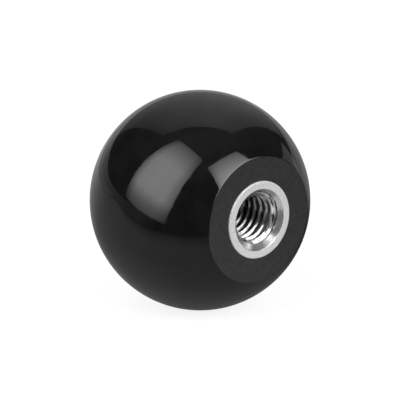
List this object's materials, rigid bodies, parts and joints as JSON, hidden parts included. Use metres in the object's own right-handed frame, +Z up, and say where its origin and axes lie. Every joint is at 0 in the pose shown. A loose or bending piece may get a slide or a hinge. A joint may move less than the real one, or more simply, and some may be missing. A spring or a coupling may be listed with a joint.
{
  "type": "ball knob",
  "caption": "Black ball knob with a moulded-in steel bush, a flat at its mouth and a blind M8 thread for a lever or stud.",
  "frame": {"origin": "centre of the bush's seat face, on the thread axis", "axes": "-Y along the thread axis and out of its mouth, +Y towards the crown of the ball, +Z up; the ball is the same all round Y"},
  "size_m": [0.032, 0.0292, 0.032],
  "materials": {
    "black_moulding": "gloss",
    "bright_steel": "satin"
  },
  "bodies": {
    "root": {"ball": "black_moulding", "threaded_bush": "bright_steel"}
  },
  "joints": []
}
